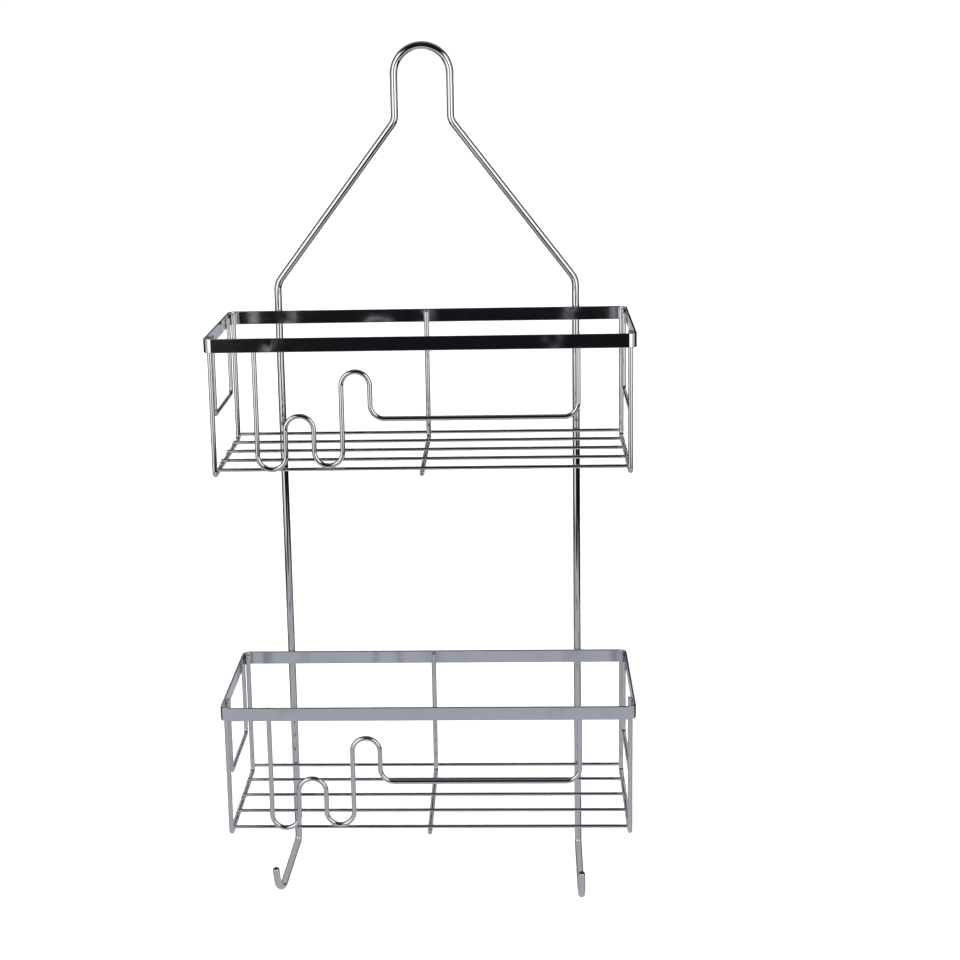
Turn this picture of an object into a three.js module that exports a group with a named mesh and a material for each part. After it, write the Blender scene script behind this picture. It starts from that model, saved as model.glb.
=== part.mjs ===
// Two-tier hanging shower caddy: a bent wire frame with a hanging loop and two hooks, and two
// wire baskets welded to its uprights. Millimetres, +Z up, front faces -Y. The origin is the
// inside top of the hanging loop, where the caddy bears on a shower arm.
import * as THREE from "three";

// Wire diameters and the rim strip's section.
const frameWire = 5.5;
const postWire = 3.5;
const guardWire = 3;
const floorWire = 2.5;
const stripHeight = 10;
const stripThickness = 1.5;

// Clearance at each welded contact, which the weld bead fills.
const weldGap = 0.3;

// Frame: loop, neck, sloping shoulders, uprights and hooks.
const loopInnerWidth = 35.9;
const neckLength = 33.75;
const neckBend = 12;
const shoulderDrop = 119.6;
const shoulderBend = 15;
const uprightSpacing = 224;
const shoulderToRim = 20.2;
const hookHeelBend = 7;
const hookTipBend = 7;
const leftHook = { side: -1, tail: 59.5, reach: 42, drop: 29.5, rise: 24.5, splay: 15, lean: 6 };
const rightHook = { side: 1, tail: 62.5, reach: 48, drop: 30, rise: 27, splay: 1.5, lean: 0 };

// Baskets.
const basketSpacing = 270;
const basketWidth = 300;
const basketDepth = 125;
const basketHeight = 100;
const rimCornerRadius = 6;
const floorWireCount = 5;
const floorWireSetback = 1.2;
const wireTopInset = 1.5;

// Front wave wire: two U slots and two arches on the left, then a straight rail. Slots are
// measured up from the floor wires, arches and rail down from the rim's top edge.
const waveLeftInset = 35;
const waveRightInset = 40.5;
const wavePitch = 20;
const firstSlotLift = 0.75;
const secondSlotLift = 3.15;
const lowArchDrop = 56;
const tallArchDrop = 25;
const railDrop = 58.5;
const railBend = 10;

// Side guards.
const guardWidth = 78;
const guardBend = 4;

// Facets of a wire's section and of a bend.
const wireSides = 10;
const frameSides = 12;
const degreesPerFacet = 15;
const cornerFacets = 6;

// Radii and contact distances that the sizes above give.
const frameRadius = frameWire / 2;
const postRadius = postWire / 2;
const guardRadius = guardWire / 2;
const floorRadius = floorWire / 2;
const postToFloor = postRadius + weldGap + floorRadius;
const loopRadius = loopInnerWidth / 2 + frameRadius;

// Where posts stand: tucked into the rim's rounded corners, so the whole row shares one inset.
const cornerTuck = rimCornerRadius - stripThickness - weldGap - postRadius;
const postInset = rimCornerRadius - cornerTuck / Math.SQRT2;
const postX = basketWidth / 2 - postInset;
const backPostY = -postInset;
const frontPostY = -basketDepth + postInset;
const backFloorY = backPostY + postToFloor;
const frontFloorY = frontPostY + postToFloor;
const frameY = Math.max(backFloorY + floorRadius, 0) + weldGap + frameRadius;

// Heights in the row frame.
const loopSpringZ = frameRadius - loopRadius;
const neckZ = loopSpringZ - neckLength;
const shoulderZ = neckZ - shoulderDrop;
const upperRimZ = shoulderZ - shoulderToRim;
const lowerRimZ = upperRimZ - basketSpacing;

// Heights inside a basket, below its rim's top edge.
const endWireZ = -basketHeight + postRadius;
const floorZ = endWireZ + postToFloor;

function chrome(shade) {
  return new THREE.MeshStandardMaterial({
    color: new THREE.Color(shade, shade, shade * 1.02),
    roughness: 0.12,
    metalness: 1,
  });
}

function corner(x, y, z, bend = 0) {
  return { at: new THREE.Vector3(x, y, z), bend };
}

// The stations along a wire that runs through corners, with each corner rounded to its bend
// radius: straight stretches need only their ends, and a bend gets a station every few degrees.
function bentStations(corners) {
  const stations = [];
  const push = (position, tangent) => {
    const last = stations.at(-1);
    if (!last || last.position.distanceTo(position) > 1e-6) stations.push({ position, tangent });
  };
  const directions = corners.slice(1).map((c, i) => c.at.clone().sub(corners[i].at).normalize());
  push(corners[0].at.clone(), directions[0]);
  for (let i = 1; i < corners.length - 1; i += 1) {
    const before = directions[i - 1];
    const after = directions[i];
    const turn = before.angleTo(after);
    const axis = before.clone().cross(after).normalize();
    const setback = corners[i].bend * Math.tan(turn / 2);
    const centre = corners[i].at.clone()
      .addScaledVector(before, -setback)
      .addScaledVector(axis.clone().cross(before), corners[i].bend);
    const arm = before.clone().cross(axis).multiplyScalar(corners[i].bend);
    const facets = Math.ceil(THREE.MathUtils.radToDeg(turn) / degreesPerFacet);
    for (let k = 0; k <= facets; k += 1) {
      const angle = (turn * k) / facets;
      push(
        arm.clone().applyAxisAngle(axis, angle).add(centre),
        before.clone().applyAxisAngle(axis, angle),
      );
    }
  }
  push(corners.at(-1).at.clone(), directions.at(-1));
  return stations;
}

// A curve that visits the stations one by one, so a sweep has a section at each and none between.
class StationCurve extends THREE.Curve {
  constructor(stations) {
    super();
    this.stations = stations;
  }

  get steps() {
    return this.stations.length - 1;
  }

  station(u) {
    return this.stations[Math.round(u * this.steps)];
  }

  getPointAt(u) {
    return this.station(u).position.clone();
  }

  getTangentAt(u) {
    return this.station(u).tangent.clone();
  }
}

function roundSection(radius, sides) {
  const points = [];
  for (let i = 0; i < sides; i += 1) {
    const angle = (2 * Math.PI * i) / sides;
    points.push(new THREE.Vector2(radius * Math.cos(angle), radius * Math.sin(angle)));
  }
  return new THREE.Shape(points);
}

function wire(name, radius, corners, sides = wireSides, shade = 0.8) {
  const path = new StationCurve(bentStations(corners));
  const geometry = new THREE.ExtrudeGeometry(roundSection(radius, sides), {
    steps: path.steps,
    extrudePath: path,
  });
  const mesh = new THREE.Mesh(geometry, chrome(shade));
  mesh.name = name;
  return mesh;
}

// A hook's heel, toe and tip: ahead of and below the foot of an upright. Splay swings the shank
// outward and lean tips the upturned end outward, in degrees.
function hookCorners(hook) {
  const outward = (degrees, length) =>
    hook.side * Math.tan(THREE.MathUtils.degToRad(degrees)) * length;
  const heelX = (hook.side * uprightSpacing) / 2;
  const heelZ = lowerRimZ - basketHeight - hook.tail;
  const toeX = heelX + outward(hook.splay, hook.reach);
  const toeY = frameY - hook.reach;
  const toeZ = heelZ - hook.drop;
  return [
    corner(heelX, frameY, heelZ, hookHeelBend),
    corner(toeX, toeY, toeZ, hookTipBend),
    corner(toeX + outward(hook.lean, hook.rise), toeY, toeZ + hook.rise),
  ];
}

function frame() {
  const half = uprightSpacing / 2;
  const shoulders = [
    corner(-half, frameY, shoulderZ, shoulderBend),
    corner(-loopRadius, frameY, neckZ, neckBend),
    corner(-loopRadius, frameY, frameRadius, loopRadius),
    corner(loopRadius, frameY, frameRadius, loopRadius),
    corner(loopRadius, frameY, neckZ, neckBend),
    corner(half, frameY, shoulderZ, shoulderBend),
  ];
  const corners = [...hookCorners(leftHook).reverse(), ...shoulders, ...hookCorners(rightHook)];
  return wire("frame_wire", frameRadius, corners, frameSides, 0.78);
}

// A rounded rectangle's outline, a given distance in from the basket's outer face.
function rimOutline(inset) {
  const radius = rimCornerRadius - inset;
  const points = [];
  for (let quarter = 0; quarter < 4; quarter += 1) {
    const toRight = quarter === 0 || quarter === 3 ? 1 : -1;
    const centreX = toRight * (basketWidth / 2 - rimCornerRadius);
    const centreY = quarter < 2 ? -rimCornerRadius : rimCornerRadius - basketDepth;
    for (let k = 0; k <= cornerFacets; k += 1) {
      const angle = ((quarter + k / cornerFacets) * Math.PI) / 2;
      points.push(
        new THREE.Vector2(centreX + radius * Math.cos(angle), centreY + radius * Math.sin(angle)),
      );
    }
  }
  return points;
}

// The flat strip bent into a rounded rectangle and butt-welded, standing on edge.
function rimStrip(name) {
  const outline = new THREE.Shape(rimOutline(0));
  outline.holes.push(new THREE.Path(rimOutline(stripThickness)));
  const geometry = new THREE.ExtrudeGeometry(outline, {
    depth: stripHeight,
    bevelEnabled: false,
  });
  const mesh = new THREE.Mesh(geometry, chrome(0.74));
  mesh.name = name;
  mesh.position.z = -stripHeight;
  return mesh;
}

function endWire(name, side) {
  const x = side * postX;
  return wire(name, postRadius, [
    corner(x, frontPostY, -wireTopInset),
    corner(x, frontPostY, endWireZ, postToFloor),
    corner(x, backPostY, endWireZ, postToFloor),
    corner(x, backPostY, -wireTopInset),
  ]);
}

// The middle support: a post behind, then a runner under the floor that stops past the front wire.
function centreWire(name) {
  return wire(name, postRadius, [
    corner(0, backPostY, -wireTopInset),
    corner(0, backPostY, endWireZ, postToFloor),
    corner(0, frontPostY, endWireZ),
  ]);
}

function floorWires(prefix) {
  const reach = postX + postRadius - floorWireSetback;
  const wires = [];
  for (let i = 0; i < floorWireCount; i += 1) {
    const y = THREE.MathUtils.lerp(backFloorY, frontFloorY, i / (floorWireCount - 1));
    const ends = [corner(-reach, y, floorZ), corner(reach, y, floorZ)];
    wires.push(wire(`${prefix}_floor_wire_${i + 1}`, floorRadius, ends));
  }
  return wires;
}

function waveWire(name) {
  const left = waveLeftInset - basketWidth / 2;
  const right = basketWidth / 2 - waveRightInset;
  const turns = [floorZ + firstSlotLift, -lowArchDrop, floorZ + secondSlotLift, -tallArchDrop];
  const corners = [corner(left, frontPostY, -wireTopInset)];
  turns.forEach((turnZ, i) => {
    corners.push(corner(left + i * wavePitch, frontPostY, turnZ, wavePitch / 2));
    corners.push(corner(left + (i + 1) * wavePitch, frontPostY, turnZ, wavePitch / 2));
  });
  corners.push(corner(left + turns.length * wavePitch, frontPostY, -railDrop, railBend));
  corners.push(corner(right, frontPostY, -railDrop, railBend));
  corners.push(corner(right, frontPostY, -wireTopInset));
  return wire(name, postRadius, corners);
}

function sideGuard(name, side) {
  const x = side * (basketWidth / 2 - stripThickness - weldGap - guardRadius);
  const front = -basketDepth / 2 - guardWidth / 2;
  const back = front + guardWidth;
  return wire(name, guardRadius, [
    corner(x, front, -wireTopInset),
    corner(x, front, -railDrop, guardBend),
    corner(x, back, -railDrop, guardBend),
    corner(x, back, -wireTopInset),
  ]);
}

function basket(prefix, rimZ) {
  const group = new THREE.Group();
  group.position.z = rimZ;
  group.add(rimStrip(`${prefix}_rim_strip`));
  group.add(endWire(`${prefix}_left_end_wire`, -1), endWire(`${prefix}_right_end_wire`, 1));
  group.add(centreWire(`${prefix}_centre_wire`));
  group.add(...floorWires(prefix));
  group.add(waveWire(`${prefix}_front_wave_wire`));
  group.add(sideGuard(`${prefix}_left_side_guard`, -1), sideGuard(`${prefix}_right_side_guard`, 1));
  return group;
}

const caddy = new THREE.Group();
caddy.add(frame(), basket("upper", upperRimZ), basket("lower", lowerRimZ));

export default caddy;
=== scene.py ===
# Two-tier chrome shower caddy: a bent wire frame with a hanging loop and two hooks, and two wire
# baskets welded to its uprights. Sizes in the dictionaries are millimetres; the scene is metres.
import math

import bmesh
import bpy
from mathutils import Matrix, Vector


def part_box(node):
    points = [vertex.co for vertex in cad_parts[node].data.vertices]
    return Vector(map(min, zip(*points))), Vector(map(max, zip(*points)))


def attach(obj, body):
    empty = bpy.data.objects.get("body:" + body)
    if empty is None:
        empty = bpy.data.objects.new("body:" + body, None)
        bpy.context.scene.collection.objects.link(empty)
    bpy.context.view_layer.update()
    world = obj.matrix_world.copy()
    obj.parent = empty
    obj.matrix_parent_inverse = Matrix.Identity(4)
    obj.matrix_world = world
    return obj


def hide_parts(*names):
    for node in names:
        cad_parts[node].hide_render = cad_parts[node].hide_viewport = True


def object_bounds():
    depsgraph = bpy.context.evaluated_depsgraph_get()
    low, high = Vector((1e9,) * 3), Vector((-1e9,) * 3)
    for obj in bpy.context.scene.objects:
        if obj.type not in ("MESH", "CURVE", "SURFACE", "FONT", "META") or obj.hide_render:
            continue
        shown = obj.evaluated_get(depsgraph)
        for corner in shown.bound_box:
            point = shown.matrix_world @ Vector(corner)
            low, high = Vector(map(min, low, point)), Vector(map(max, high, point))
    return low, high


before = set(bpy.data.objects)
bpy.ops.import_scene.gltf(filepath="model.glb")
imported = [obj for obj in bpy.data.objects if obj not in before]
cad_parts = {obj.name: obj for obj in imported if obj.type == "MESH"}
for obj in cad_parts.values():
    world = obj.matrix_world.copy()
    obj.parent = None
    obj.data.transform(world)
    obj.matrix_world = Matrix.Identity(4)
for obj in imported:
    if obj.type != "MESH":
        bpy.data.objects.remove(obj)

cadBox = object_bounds()
mm = 0.001
sides = {"left": -1, "right": 1}
tiers = ("upper", "lower")


# camera
cameraSet = {
    "place": (66.8, -1408.8, 26.3),
    "lens": 71.04, "sensorWidth": 36,
    "turnLeft": 2.68, "tiltDown": 12.30, "roll": -1.23,   # degrees
    "shift": (0.052, -0.0573),
    "clip": (50, 60000),
}


def makeCamera(values):
    data = bpy.data.cameras.new("studioCamera")
    data.lens = values["lens"]
    data.sensor_width = values["sensorWidth"]
    data.shift_x, data.shift_y = values["shift"]
    data.clip_start, data.clip_end = (v * mm for v in values["clip"])
    camera = bpy.data.objects.new("studioCamera", data)
    turn = Matrix.Rotation(math.radians(values["turnLeft"]), 4, "Z")
    tilt = Matrix.Rotation(math.radians(90 - values["tiltDown"]), 4, "X")
    roll = Matrix.Rotation(math.radians(values["roll"]), 4, "Z")
    camera.matrix_world = Matrix.Translation(Vector(values["place"]) * mm) @ turn @ tilt @ roll
    bpy.context.scene.collection.objects.link(camera)
    bpy.context.scene.camera = camera


makeCamera(cameraSet)
print("camera set")


# shader helper
class Shade:
    # wraps one socket, so shader maths can be written as expressions
    def __init__(self, tree, socket=None):
        self.tree = tree
        self.socket = socket

    def add(self, kind, settings=None, inputs=None, output=0):
        node = self.tree.nodes.new(kind)
        for key, value in (settings or {}).items():
            if key == "stops":
                fillRamp(node.color_ramp, value)
            else:
                setattr(node, key, value)
        for key, value in (inputs or {}).items():
            if isinstance(value, Shade):
                self.tree.links.new(value.socket, node.inputs[key])
            else:
                node.inputs[key].default_value = value
        return Shade(self.tree, node.outputs[output] if len(node.outputs) else None)

    def math(self, operation, *values):
        return self.add("ShaderNodeMath", {"operation": operation}, dict(enumerate(values)))

    def __add__(self, other):
        return self.math("ADD", self, other)

    def __sub__(self, other):
        return self.math("SUBTRACT", self, other)

    def __rsub__(self, other):
        return self.math("SUBTRACT", other, self)

    def __mul__(self, other):
        return self.math("MULTIPLY", self, other)

    __radd__ = __add__
    __rmul__ = __mul__

    def part(self, axis):
        # one coordinate of a vector
        return self.add("ShaderNodeSeparateXYZ", None, {0: self}, output=axis)

    def scale(self, factors):
        # a vector multiplied by a fixed one
        return self.add("ShaderNodeVectorMath", {"operation": "MULTIPLY"}, {0: self, 1: factors})

    def smooth(self, low, high):
        # 0 below low, 1 above high, eased between
        flip = low > high
        spread = {"Value": self, "From Min": min(low, high), "From Max": max(low, high)}
        eased = self.add("ShaderNodeMapRange", {"interpolation_type": "SMOOTHSTEP"}, spread)
        return 1 - eased if flip else eased

    def mix(self, first, second):
        # colours, with this value as the factor
        colours = {0: self, 6: first, 7: second}
        return self.add("ShaderNodeMix", {"data_type": "RGBA"}, colours, output=2)


def fillRamp(ramp, stops):
    while len(ramp.elements) < len(stops):
        ramp.elements.new(1.0)
    for element, (place, value) in zip(ramp.elements, stops):
        element.position = place
        element.color = (value, value, value, 1)


# studio: what the chrome mirrors, and the pale floor
studio = {
    "ceilingAhead": (0.012, 0.014, 0.018, 1),
    "ceilingBehind": (0.16, 0.165, 0.175, 1),
    "turn": (-0.5, 0.2),         # how the ceiling lightens from ahead of the caddy to behind it
    "low": (0.0065, 0.0076, 0.0095, 1),
    "lowBelow": (8, 25),         # elevations, degrees
    "behindHigher": 30,          # how much higher the dark part reaches behind the caddy
    "backdrop": (1.02, 1.02, 1.02, 1),
    "sunStrength": 4.2, "sunAngle": 50,
    "floorBelow": 350, "floorRadius": 30000, "floorSides": 96,
    "floorColour": (0.93, 0.93, 0.93, 1), "floorRoughness": 0.9,
}
softBoxes = {
    "radius": 1500, "steps": 48,
    "spans": {"left": (-7, -92), "right": (7, 92)},   # degrees from straight ahead
    "bottoms": {"left": -820, "right": -640}, "top": 1300,
    "edgeSoftness": 70, "topSoftness": 190,
    "innerEdge": {"left": (18, 13), "right": (19, 15)},   # degrees, low down and high up
    "innerEdgeBetween": (-420, -20), "innerSoftness": 1.44,
    "topSlope": 0.84,            # the upper edge climbs away from straight ahead
    "bright": 1.45, "dim": 0.95, "dimBetween": (-650, -340), "spill": 0.007,
    # share of the brightness, by angle from straight ahead
    "round": [(0, 1.0), (44, 1.0), (60, 0.42), (90, 0.24)],
}
paperSweep = {
    "below": 46,                 # under the hooks
    "halfWidth": 960, "ahead": 990, "behind": 1250,
    "colour": (0.425, 0.438, 0.468, 1),
    "shade": (0.07, 0.073, 0.08, 1),
    "shadeFrom": (-110, 40), "shadeBeside": (150, 300),
}
# grey cards: three stand behind the caddy, one lies between the uprights' tails
greyCards = {
    "backCard": {
        "centre": (0, 1500, -620), "halfSize": (320, 400), "upright": True,
        "colour": (0.40, 0.42, 0.46, 1),
    },
    "hookCard": {
        "centre": (0, 9, -585), "halfSize": (300, 51), "upright": False,
        "colour": (0.42, 0.43, 0.455, 1),
    },
    "leftWingCard": {
        "centre": (-640, 1500, -150), "halfSize": (260, 400), "upright": True,
        "colour": (0.42, 0.43, 0.455, 1),
    },
    "rightWingCard": {
        "centre": (640, 1500, -150), "halfSize": (260, 400), "upright": True,
        "colour": (0.42, 0.43, 0.455, 1),
    },
}


def makeWorld(values):
    world = bpy.data.worlds.new("studio")
    world.use_nodes = True
    world.node_tree.nodes.clear()
    start = Shade(world.node_tree)
    direction = start.add("ShaderNodeTexCoord", output="Generated")
    elevation = start.math("ARCSINE", direction.part(2)) * (180 / math.pi)
    behind = direction.part(1).smooth(*values["turn"])
    ceiling = behind.mix(values["ceilingAhead"], values["ceilingBehind"])
    height = elevation - behind * values["behindHigher"]
    mirrored = height.smooth(*values["lowBelow"]).mix(values["low"], ceiling)
    seen = start.add("ShaderNodeLightPath", output="Is Camera Ray")
    colour = seen.mix(mirrored, values["backdrop"])
    background = start.add("ShaderNodeBackground", inputs={"Color": colour})
    start.add("ShaderNodeOutputWorld", inputs={"Surface": background})
    bpy.context.scene.world = world


def makeFloor(values):
    sun = bpy.data.lights.new("overheadLight", "SUN")
    sun.energy = values["sunStrength"]
    sun.angle = math.radians(values["sunAngle"])
    light = bpy.data.objects.new("overheadLight", sun)
    light.visible_glossy = False
    bpy.context.scene.collection.objects.link(light)

    bm = bmesh.new()
    bottom = cadBox[0][2] - values["floorBelow"] * mm
    bmesh.ops.create_circle(
        bm, cap_ends=True, segments=values["floorSides"], radius=values["floorRadius"] * mm,
        matrix=Matrix.Translation((0, 0, bottom)),
    )
    floor = finishMesh("studioFloor", bm)
    floor.visible_glossy = False
    paint = bpy.data.materials.new("paleFloor")
    paint.use_nodes = True
    shader = paint.node_tree.nodes["Principled BSDF"]
    shader.inputs["Base Color"].default_value = values["floorColour"]
    shader.inputs["Roughness"].default_value = values["floorRoughness"]
    shader.inputs["Specular IOR Level"].default_value = 0.0
    floor.data.materials.append(paint)


def mirroredOnly(name, bm):
    # a studio surface that only the chrome sees
    board = finishMesh(name, bm)
    board.visible_camera = board.visible_diffuse = board.visible_shadow = False
    paint = bpy.data.materials.new(name)
    paint.use_nodes = True
    paint.node_tree.nodes.clear()
    board.data.materials.append(paint)
    start = Shade(paint.node_tree)
    return start, start.add("ShaderNodeTexCoord", output="Object")


def glow(start, colour, strength=1.0):
    light = start.add("ShaderNodeEmission", inputs={"Color": colour, "Strength": strength})
    start.add("ShaderNodeOutputMaterial", inputs={"Surface": light})


def makeSoftBox(side, values):
    first, last = (math.radians(degrees) for degrees in values["spans"][side])
    bm = bmesh.new()
    radius, bottom, top = values["radius"] * mm, values["bottoms"][side] * mm, values["top"] * mm
    foot = bm.verts.new((radius * math.sin(first), -radius * math.cos(first), bottom))
    head = bm.verts.new((foot.co.x, foot.co.y, top))
    bmesh.ops.spin(
        bm, geom=[foot, head, bm.edges.new((foot, head))], cent=(0, 0, 0), axis=(0, 0, 1),
        angle=last - first, steps=values["steps"], use_duplicate=False, use_merge=False,
        use_normal_flip=False, dvec=(0, 0, 0), space=Matrix.Identity(4),
    )
    start, place = mirroredOnly(f"{side}SoftBox", bm)
    across, along, up = (place.part(axis) for axis in range(3))
    aside = start.math("ABSOLUTE", across)
    azimuth = start.math("ARCTAN2", aside, 0 - along) * (1 / math.pi)
    soft = values["edgeSoftness"] * mm
    low, high = (degrees / 180 for degrees in values["innerEdge"][side])
    inner = up.smooth(*(z * mm for z in values["innerEdgeBetween"])) * (high - low) + low
    blend = values["innerSoftness"] / 180
    shape = (azimuth - inner).smooth(-blend, blend) * up.smooth(bottom, bottom + soft)
    blur = values["topSoftness"] * mm
    shape = shape * (aside * values["topSlope"] - up).smooth(-blur, blur)
    stops = [(degrees / 180, share) for degrees, share in values["round"]]
    share = start.add("ShaderNodeValToRGB", {"stops": stops}, {0: azimuth})
    height = up.smooth(*(z * mm for z in values["dimBetween"]))
    strength = height * (values["bright"] - values["dim"]) + values["dim"]
    glow(start, share, strength * shape + values["spill"])


def makeCard(name, values):
    bm = bmesh.new()
    bmesh.ops.create_grid(bm, x_segments=1, y_segments=1, size=1)
    wide, tall = (v * mm for v in values["halfSize"])
    turn = Matrix.Rotation(math.pi / 2 if values["upright"] else 0, 4, "X")
    place = Matrix.Translation(Vector(values["centre"]) * mm)
    bmesh.ops.transform(bm, matrix=place @ turn @ Matrix.Diagonal((wide, tall, 1, 1)), verts=bm.verts)
    glow(mirroredOnly(name, bm)[0], values["colour"])


def makePaper(values):
    bm = bmesh.new()
    bmesh.ops.create_grid(bm, x_segments=1, y_segments=1, size=1)
    deep = (values["ahead"] + values["behind"]) / 2
    middle = Vector((0, values["behind"] - deep, -values["below"])) * mm
    bmesh.ops.scale(bm, verts=bm.verts, vec=(values["halfWidth"] * mm, deep * mm, 1))
    bmesh.ops.translate(bm, verts=bm.verts, vec=middle + Vector((0, 0, cadBox[0][2])))
    start, place = mirroredOnly("paperSweep", bm)
    rear = place.part(1).smooth(*(v * mm for v in values["shadeFrom"]))
    aside = start.math("ABSOLUTE", place.part(0))
    beside = aside.smooth(*(v * mm for v in values["shadeBeside"]))
    glow(start, (rear * beside).mix(values["colour"], values["shade"]))


# chrome
plating = {
    "broad": (28.0, 2.0), "fine": (420.0, 3.0), "haze": (90.0, 4.0),   # noise scale, detail
    "dull": 0.94, "dullBetween": (0.45, 0.75),
    "hazeBetween": (0.5, 0.85), "hazeRoughness": 0.03, "fineRoughness": 0.01,
    "broadHeight": 0.5, "fineHeight": 0.1,
    "dimpleBetween": (0.3, 0.7), "smudgeBetween": (0.35, 0.65), "smudgeRoughness": 0.16,
}
chromeLooks = {
    "frameChrome": {"colour": (0.80, 0.803, 0.81), "roughness": 0.03, "ripple": 0.004},
    "basketChrome": {"colour": (0.80, 0.803, 0.812), "roughness": 0.035, "ripple": 0.004},
    "floorChrome": {"colour": (0.78, 0.785, 0.795), "roughness": 0.05, "ripple": 0.004},
    "stripChrome": {
        "colour": (0.765, 0.785, 0.825), "roughness": 0.09, "ripple": 0.01,
        "dimple": 0.007, "dimpleSize": (13, 2),
        "dimples": [(-104, 0), (108, 0), (0, 0), (-102, -125), (92, -125)],
    },
    # weld beads: duller, rougher plating is real, but the darker colour is painted contact shade
    # where the wires meet the strips and each other
    "weldChromeAndShade": {"colour": (0.50, 0.50, 0.515), "roughness": 0.16, "ripple": 0.05},
    "cutEnd": {"colour": (0.62, 0.62, 0.63), "roughness": 0.42, "ripple": 0.05},
    "bareTip": {
        "colour": (0.012, 0.012, 0.014), "roughness": 0.45, "ripple": 0.05, "metallic": 0.0,
    },
}


def makeChrome(name, look):
    material = bpy.data.materials.new(name)
    material.use_nodes = True
    material.node_tree.nodes.clear()
    start = Shade(material.node_tree)
    place = start.add("ShaderNodeTexCoord", output="Object")
    broad, fine, haze = (
        start.add("ShaderNodeTexNoise", None, {"Vector": place, "Scale": scale, "Detail": detail})
        for scale, detail in (plating[kind] for kind in ("broad", "fine", "haze"))
    )
    dull = tuple(c * plating["dull"] for c in look["colour"]) + (1,)
    colour = broad.smooth(*plating["dullBetween"]).mix(look["colour"] + (1,), dull)
    roughness = look["roughness"] + haze.smooth(*plating["hazeBetween"]) * plating["hazeRoughness"]
    roughness = roughness + fine * plating["fineRoughness"]
    height = (broad * plating["broadHeight"] + fine * plating["fineHeight"]) * look["ripple"]
    if "dimples" in look:
        flat = place.scale((1, 1, 0))
        outer, inner = (v * mm for v in look["dimpleSize"])
        for x, y in look["dimples"]:
            away = start.add(
                "ShaderNodeVectorMath", {"operation": "DISTANCE"},
                {0: flat, 1: (x * mm, y * mm, 0)}, output="Value",
            )
            spot = away.smooth(outer, inner)
            dent = spot * haze.smooth(*plating["dimpleBetween"])
            smudge = spot * haze.smooth(*plating["smudgeBetween"])
            height = height - dent * look["dimple"]
            roughness = roughness + smudge * plating["smudgeRoughness"]
    bump = start.add("ShaderNodeBump", None, {"Height": height, "Strength": 1.0, "Distance": mm})
    shader = start.add(
        "ShaderNodeBsdfPrincipled", None,
        {
            "Base Color": colour, "Metallic": look.get("metallic", 1.0),
            "Roughness": roughness, "Normal": bump,
        },
    )
    start.add("ShaderNodeOutputMaterial", inputs={"Surface": shader})
    return material


chrome = {name: makeChrome(name, look) for name, look in chromeLooks.items()}
print("chrome mixed")


# wire bending
bench = {
    "sides": 24, "degreesPerStep": 4, "endSteps": 6,
    "domeTo": 84, "bareFrom": 29,         # degrees round a domed tip
    "edgeSteps": 4, "mergeWithin": 0.01,
    "shortest": 0.0001,                   # a shorter straight stretch is left out
}


def corner(x, y, z, bend=0.0):
    return Vector((x, y, z)) * mm, bend * mm


def finishMesh(name, bm, material=None):
    bmesh.ops.recalc_face_normals(bm, faces=bm.faces)
    mesh = bpy.data.meshes.new(name)
    bm.to_mesh(mesh)
    bm.free()
    for face in mesh.polygons:
        face.use_smooth = True
    piece = bpy.data.objects.new(name, mesh)
    if material:
        mesh.materials.append(material)
    bpy.context.scene.collection.objects.link(piece)
    return piece


def ringVerts(ring):
    return list({v for e in ring for v in e.verts})


def pushRing(bm, ring, move):
    # draws the open end of a wire out by a straight move
    grown = bmesh.ops.extrude_edge_only(bm, edges=ring)["geom"]
    fresh = {g for g in grown if isinstance(g, bmesh.types.BMVert)}
    bmesh.ops.translate(bm, verts=list(fresh), vec=move)
    return [g for g in grown if isinstance(g, bmesh.types.BMEdge) and fresh.issuperset(g.verts)]


def turnRing(bm, ring, centre, axis, angle):
    # rolls the open end of a wire round a bending pin
    steps = max(3, math.ceil(math.degrees(angle) / bench["degreesPerStep"]))
    turned = bmesh.ops.spin(
        bm, geom=ringVerts(ring) + ring, cent=centre, axis=axis, angle=angle, steps=steps,
        use_duplicate=False, use_merge=False, use_normal_flip=False, dvec=(0, 0, 0),
        space=Matrix.Identity(4),
    )
    return [g for g in turned["geom_last"] if isinstance(g, bmesh.types.BMEdge)]


def roundEnd(bm, ring, heading, radius, rounding):
    # closes a wire's cut end with a rounded edge; a rounding as large as the radius makes a dome
    steps = bench["endSteps"]
    angles = [math.pi / 2 * k / steps for k in range(steps + 1)]
    dome = rounding >= radius
    if dome:
        angles[-1] = math.radians(bench["domeTo"])
    for before, after in zip(angles, angles[1:]):
        earlier = set(bm.faces)
        ring = pushRing(bm, ring, heading * rounding * (math.sin(after) - math.sin(before)))
        verts = ringVerts(ring)
        middle = sum((v.co for v in verts), Vector()) / len(verts)
        old, new = (radius - rounding * (1 - math.cos(a)) for a in (before, after))
        bmesh.ops.scale(
            bm, verts=verts, vec=(new / old,) * 3, space=Matrix.Translation(-middle)
        )
        if dome and before > math.radians(bench["bareFrom"]):
            for face in set(bm.faces) - earlier:
                face.material_index = 1
    for face in bmesh.ops.edgeloop_fill(bm, edges=ring)["faces"]:
        face.material_index = 1


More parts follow.
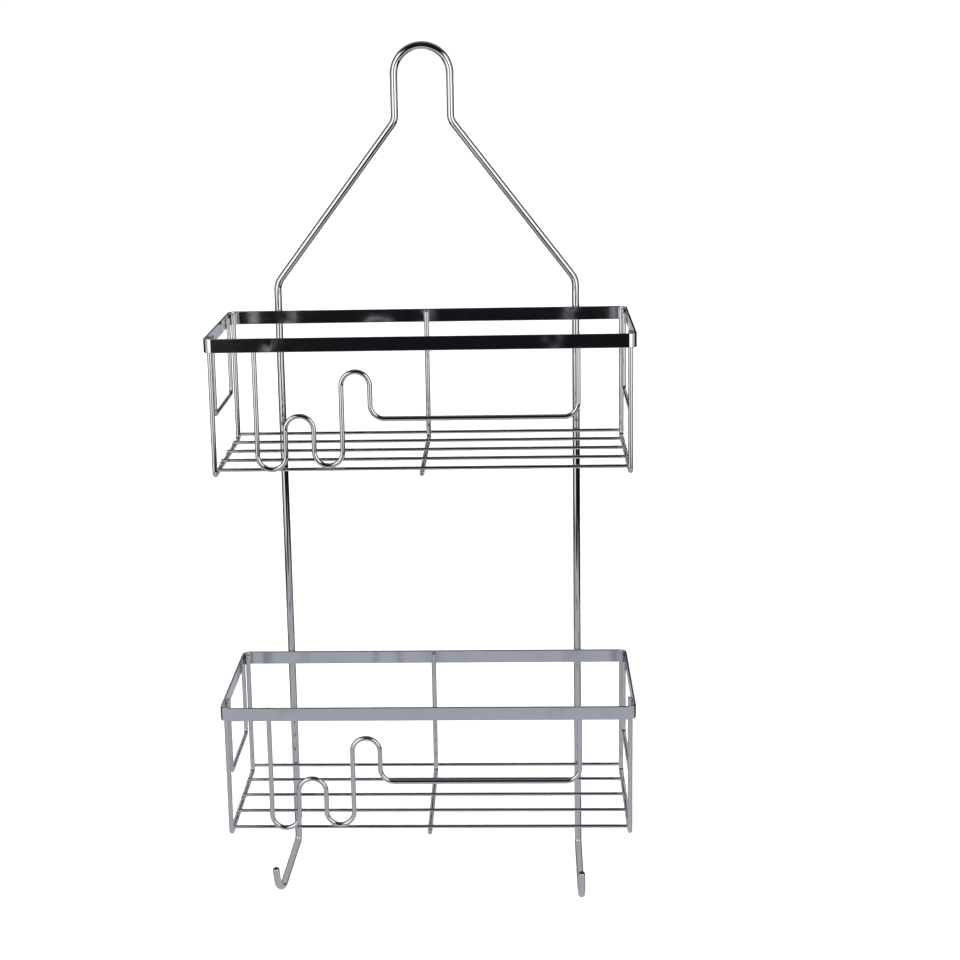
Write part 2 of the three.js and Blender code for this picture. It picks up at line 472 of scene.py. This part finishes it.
def runRing(bm, ring, corners, trims=(0.0, 0.0)):
    # carries a ring along straight stretches and round each corner's bend
    points = [at for at, bend in corners]
    headings = [(b - a).normalized() for a, b in zip(points, points[1:])]
    here = points[0] + headings[0] * trims[0]
    for k in range(1, len(corners) - 1):
        before, after = headings[k - 1], headings[k]
        turn = before.angle(after)
        axis = before.cross(after).normalized()
        bend = corners[k][1]
        start = points[k] - before * bend * math.tan(turn / 2)
        if (start - here).length > bench["shortest"] * mm:
            ring = pushRing(bm, ring, start - here)
        centre = start + axis.cross(before) * bend
        ring = turnRing(bm, ring, centre, axis, turn)
        here = points[k] + after * bend * math.tan(turn / 2)
    finish = points[-1] - headings[-1] * trims[1]
    if (finish - here).length > bench["shortest"] * mm:
        ring = pushRing(bm, ring, finish - here)
    return ring


def drawWire(bm, diameter, corners, roundings):
    radius = diameter / 2 * mm
    trims = [min(r * mm, radius) for r in roundings]
    points = [at for at, bend in corners]
    first = (points[1] - points[0]).normalized()
    last = (points[-1] - points[-2]).normalized()
    facing = first.to_track_quat("Z", "Y").to_matrix().to_4x4()
    at = Matrix.Translation(points[0] + first * trims[0])
    made = bmesh.ops.create_circle(bm, segments=bench["sides"], radius=radius, matrix=at @ facing)
    ring = list({e for v in made["verts"] for e in v.link_edges})
    end = runRing(bm, ring, corners, trims)
    roundEnd(bm, ring, -first, radius, trims[0])
    roundEnd(bm, end, last, radius, trims[1])


def standFor(piece, node):
    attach(piece, "root")
    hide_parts(node)
    low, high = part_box(node)
    mine = [v.co for v in piece.data.vertices]
    worst = max(
        max(abs(min(v[k] for v in mine) - low[k]), abs(max(v[k] for v in mine) - high[k]))
        for k in range(3)
    )
    print(f"  {piece.name}: {worst / mm:.2f} mm from its CAD box")


def weighted(piece):
    piece.modifiers.new("weightedNormals", "WEIGHTED_NORMAL").keep_sharp = True


makeWorld(studio)
makeFloor(studio)
makePaper(paperSweep)
for side in sides:
    makeSoftBox(side, softBoxes)
for name, values in greyCards.items():
    makeCard(name, values)
print("studio lit")


# frame wire
frameWire = {
    "diameter": 5.5,
    "loopInnerWidth": 35.9,
    "neckLength": 33.75, "neckBend": 12.0,
    "shoulderDrop": 119.6, "shoulderBend": 15.0,
    "uprightSpacing": 224.0,
    "heelBend": 7.0, "tipBend": 7.0, "tipRounding": 2.75,
}
hookShapes = {
    "left": {"tail": 59.5, "reach": 42.0, "drop": 29.5, "rise": 24.5, "splay": 15.0, "lean": 6.0},
    "right": {"tail": 62.5, "reach": 48.0, "drop": 30.0, "rise": 27.0, "splay": 1.5, "lean": 0.0},
}
basketSizes = {
    "width": 300.0, "depth": 125.0, "height": 100.0, "cornerRadius": 6.0,
    "stripHeight": 10.0, "stripThickness": 1.5, "stripEdge": 0.45,
    "postDiameter": 3.5, "guardDiameter": 3.0, "floorDiameter": 2.5,
    "weldGap": 0.3, "topInset": 1.5,
}
rimZ = {tier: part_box(f"{tier}_rim_strip")[1].z / mm for tier in tiers}
tuck = (
    basketSizes["cornerRadius"] - basketSizes["stripThickness"] - basketSizes["weldGap"]
    - basketSizes["postDiameter"] / 2
)
postInset = basketSizes["cornerRadius"] - tuck / math.sqrt(2)
postX = basketSizes["width"] / 2 - postInset
backY, frontY = -postInset, postInset - basketSizes["depth"]
postToFloor = (
    basketSizes["postDiameter"] / 2 + basketSizes["weldGap"] + basketSizes["floorDiameter"] / 2
)
backFloorY, frontFloorY = backY + postToFloor, frontY + postToFloor
uprightY = max(backFloorY + basketSizes["floorDiameter"] / 2, 0) + basketSizes["weldGap"] + (
    frameWire["diameter"] / 2
)
endWireZ = basketSizes["postDiameter"] / 2 - basketSizes["height"]
floorZ = endWireZ + postToFloor


def hookCorners(side):
    hook, sign = hookShapes[side], sides[side]
    heelX = sign * frameWire["uprightSpacing"] / 2
    heelZ = rimZ["lower"] - basketSizes["height"] - hook["tail"]
    toeX = heelX + sign * math.tan(math.radians(hook["splay"])) * hook["reach"]
    toeY, toeZ = uprightY - hook["reach"], heelZ - hook["drop"]
    tipX = toeX + sign * math.tan(math.radians(hook["lean"])) * hook["rise"]
    return [
        corner(heelX, uprightY, heelZ, frameWire["heelBend"]),
        corner(toeX, toeY, toeZ, frameWire["tipBend"]),
        corner(tipX, toeY, toeZ + hook["rise"]),
    ]


def makeFrame():
    radius = frameWire["diameter"] / 2
    loop = frameWire["loopInnerWidth"] / 2 + radius
    neckZ = radius - loop - frameWire["neckLength"]
    shoulderZ = neckZ - frameWire["shoulderDrop"]
    half = frameWire["uprightSpacing"] / 2
    over = [
        corner(-half, uprightY, shoulderZ, frameWire["shoulderBend"]),
        corner(-loop, uprightY, neckZ, frameWire["neckBend"]),
        corner(-loop, uprightY, radius, loop),
        corner(loop, uprightY, radius, loop),
        corner(loop, uprightY, neckZ, frameWire["neckBend"]),
        corner(half, uprightY, shoulderZ, frameWire["shoulderBend"]),
    ]
    bm = bmesh.new()
    tips = (frameWire["tipRounding"],) * 2
    path = hookCorners("left")[::-1] + over + hookCorners("right")
    drawWire(bm, frameWire["diameter"], path, tips)
    piece = finishMesh("frameWire", bm, chrome["frameChrome"])
    piece.data.materials.append(chrome["bareTip"])
    weighted(piece)
    standFor(piece, "frame_wire")


makeFrame()
print("frame bent")


# rim strips
def makeRim(tier):
    width, depth = basketSizes["width"], basketSizes["depth"]
    thick, tall = basketSizes["stripThickness"], basketSizes["stripHeight"]
    inset = thick / 2
    z = rimZ[tier] - tall / 2
    bend = basketSizes["cornerRadius"] - inset
    right, back, front = width / 2 - inset, -inset, inset - depth
    path = [
        corner(0, back, z),
        corner(-right, back, z, bend), corner(-right, front, z, bend),
        corner(right, front, z, bend), corner(right, back, z, bend),
        corner(0, back, z),
    ]
    bm = bmesh.new()
    bmesh.ops.create_grid(bm, x_segments=1, y_segments=1, size=mm / 2)
    bmesh.ops.scale(bm, verts=bm.verts, vec=(thick, tall, 1))
    bmesh.ops.bevel(
        bm, geom=bm.verts[:], offset=basketSizes["stripEdge"] * mm, segments=bench["edgeSteps"],
        profile=0.5, affect="VERTICES", material=-1,
    )
    stand = Matrix(((0, 0, 1, 0), (1, 0, 0, 0), (0, 1, 0, 0), (0, 0, 0, 1)))
    bmesh.ops.transform(bm, matrix=Matrix.Translation(path[0][0]) @ stand, verts=bm.verts)
    ring = bm.edges[:]
    bmesh.ops.delete(bm, geom=bm.faces[:], context="FACES_ONLY")
    runRing(bm, ring, path)
    bmesh.ops.remove_doubles(bm, verts=bm.verts, dist=bench["mergeWithin"] * mm)
    piece = finishMesh(f"{tier}RimStrip", bm, chrome["stripChrome"])
    weighted(piece)
    standFor(piece, f"{tier}_rim_strip")


# basket wires
wireKinds = {
    "post": {
        "diameter": basketSizes["postDiameter"], "rounding": 0.5,
        "look": "basketChrome", "slot": "basket_chrome",
    },
    "guard": {
        "diameter": basketSizes["guardDiameter"], "rounding": 0.5,
        "look": "basketChrome", "slot": "basket_chrome",
    },
    "floor": {
        "diameter": basketSizes["floorDiameter"], "rounding": 0.45,
        "look": "floorChrome", "slot": "floor_chrome",
    },
}
waveShape = {
    "leftInset": 35.0, "rightInset": 40.5, "pitch": 20.0,
    "firstSlotLift": 0.75, "secondSlotLift": 3.15,
    "lowArchDrop": 56.0, "tallArchDrop": 25.0,
    "railDrop": 58.5, "railBend": 10.0,
}
guardShape = {"width": 78.0, "bend": 4.0}
floorShape = {"count": 5, "setback": 1.2}
waveX = (
    waveShape["leftInset"] - basketSizes["width"] / 2,
    basketSizes["width"] / 2 - waveShape["rightInset"],
)
guardY = tuple((end * guardShape["width"] - basketSizes["depth"]) / 2 for end in (-1, 1))
floorY = [
    backFloorY + (frontFloorY - backFloorY) * k / (floorShape["count"] - 1)
    for k in range(floorShape["count"])
]


def placed(tier, points):
    lift = Vector((0, 0, rimZ[tier] * mm))
    return [(at + lift, bend) for at, bend in points]


def makeWire(tier, part, kind, points):
    # part is the CAD node's name without its tier
    wire = wireKinds[kind]
    bm = bmesh.new()
    drawWire(bm, wire["diameter"], placed(tier, points), (wire["rounding"],) * 2)
    piece = finishMesh(tier + part.title().replace("_", ""), bm, chrome[wire["look"]])
    piece.data.materials.append(chrome["cutEnd"])
    weighted(piece)
    standFor(piece, f"{tier}_{part}")


def makeEndWire(tier, side):
    x, top = sides[side] * postX, -basketSizes["topInset"]
    makeWire(tier, f"{side}_end_wire", "post", [
        corner(x, frontY, top), corner(x, frontY, endWireZ, postToFloor),
        corner(x, backY, endWireZ, postToFloor), corner(x, backY, top),
    ])


def makeSideGuard(tier, side):
    inset = (
        basketSizes["stripThickness"] + basketSizes["weldGap"] + basketSizes["guardDiameter"] / 2
    )
    x = sides[side] * (basketSizes["width"] / 2 - inset)
    top, low, bend = -basketSizes["topInset"], -waveShape["railDrop"], guardShape["bend"]
    near, far = guardY
    makeWire(tier, f"{side}_side_guard", "guard", [
        corner(x, near, top), corner(x, near, low, bend),
        corner(x, far, low, bend), corner(x, far, top),
    ])


def makeCentreWire(tier):
    makeWire(tier, "centre_wire", "post", [
        corner(0, backY, -basketSizes["topInset"]), corner(0, backY, endWireZ, postToFloor),
        corner(0, frontY, endWireZ),
    ])


def makeFloorWires(tier):
    reach = postX + basketSizes["postDiameter"] / 2 - floorShape["setback"]
    for number, y in enumerate(floorY, 1):
        ends = [corner(-reach, y, floorZ), corner(reach, y, floorZ)]
        makeWire(tier, f"floor_wire_{number}", "floor", ends)


def makeWave(tier):
    left, right = waveX
    pitch = waveShape["pitch"]
    turns = (
        floorZ + waveShape["firstSlotLift"], -waveShape["lowArchDrop"],
        floorZ + waveShape["secondSlotLift"], -waveShape["tallArchDrop"],
    )
    top, rail, bend = -basketSizes["topInset"], -waveShape["railDrop"], waveShape["railBend"]
    points = [corner(left, frontY, top)]
    for k, z in enumerate(turns):
        points.append(corner(left + k * pitch, frontY, z, pitch / 2))
        points.append(corner(left + (k + 1) * pitch, frontY, z, pitch / 2))
    points.append(corner(left + len(turns) * pitch, frontY, rail, bend))
    points.append(corner(right, frontY, rail, bend))
    points.append(corner(right, frontY, top))
    makeWire(tier, "front_wave_wire", "post", points)


# welds
weldShape = {
    # half sizes of the beads: across, front to back, upright
    "floorOnRunner": (1.35, 1.7, 0.95), "floorOnPost": (1.35, 0.95, 1.7),
    "upright": (1.0, 1.0, 3.2), "uprightOnFloor": (2.0, 0.9, 1.2),
    "centre": (1.0, 1.3, 3.2), "wave": (1.0, 1.1, 3.2),
    "guard": (0.8, 1.0, 3.2), "corner": (0.8, 0.8, 3.2),
    "centreOut": 0.6, "waveOut": 0.5,     # from the wire towards the strip
    "seamLow": 0.5,                       # below the middle of the strip
    "segments": (14, 8),
}


def bead(bm, kind, x, y, z):
    spread = Matrix.Diagonal((*[half * mm for half in weldShape[kind]], 1))
    place = Matrix.Translation(Vector((x, y, z)) * mm) @ spread
    around, rings = weldShape["segments"]
    bmesh.ops.create_uvsphere(bm, u_segments=around, v_segments=rings, radius=1, matrix=place)


def makeWelds(tier):
    bm = bmesh.new()
    top = rimZ[tier]
    seam = top - basketSizes["stripHeight"] / 2 - weldShape["seamLow"]
    post, gap = basketSizes["postDiameter"] / 2, basketSizes["weldGap"] / 2
    for x in (-postX, 0, postX):
        for y in floorY[1:]:
            bead(bm, "floorOnRunner", x, y, top + endWireZ + post + gap)
        # the back floor wire lies behind the posts
        bead(bm, "floorOnPost", x, backY + post + gap, top + floorZ)
    y = uprightY - frameWire["diameter"] / 2 - gap
    for sign in sides.values():
        x = sign * frameWire["uprightSpacing"] / 2
        bead(bm, "upright", x, y, seam)
        bead(bm, "uprightOnFloor", x, y, top + floorZ)
    bead(bm, "centre", 0, backY + post + weldShape["centreOut"], seam)
    for x in waveX:
        bead(bm, "wave", x, frontY - post - weldShape["waveOut"], seam)
    inside = basketSizes["width"] / 2 - basketSizes["stripThickness"] - gap
    reach = (post + gap) / math.sqrt(2)
    for sign in sides.values():
        for y in guardY:
            bead(bm, "guard", sign * inside, y, seam)
        for y in (frontY - reach, backY + reach):
            bead(bm, "corner", sign * (postX + reach), y, seam)
    piece = finishMesh(f"{tier}Welds", bm, chrome["weldChromeAndShade"])
    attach(piece, "root")


for tier in tiers:
    makeRim(tier)
    for side in sides:
        makeEndWire(tier, side)
        makeSideGuard(tier, side)
    makeCentreWire(tier)
    makeFloorWires(tier)
    makeWave(tier)
    makeWelds(tier)
    print(f"{tier} basket welded")

bpy.context.scene.view_settings.view_transform = "Standard"
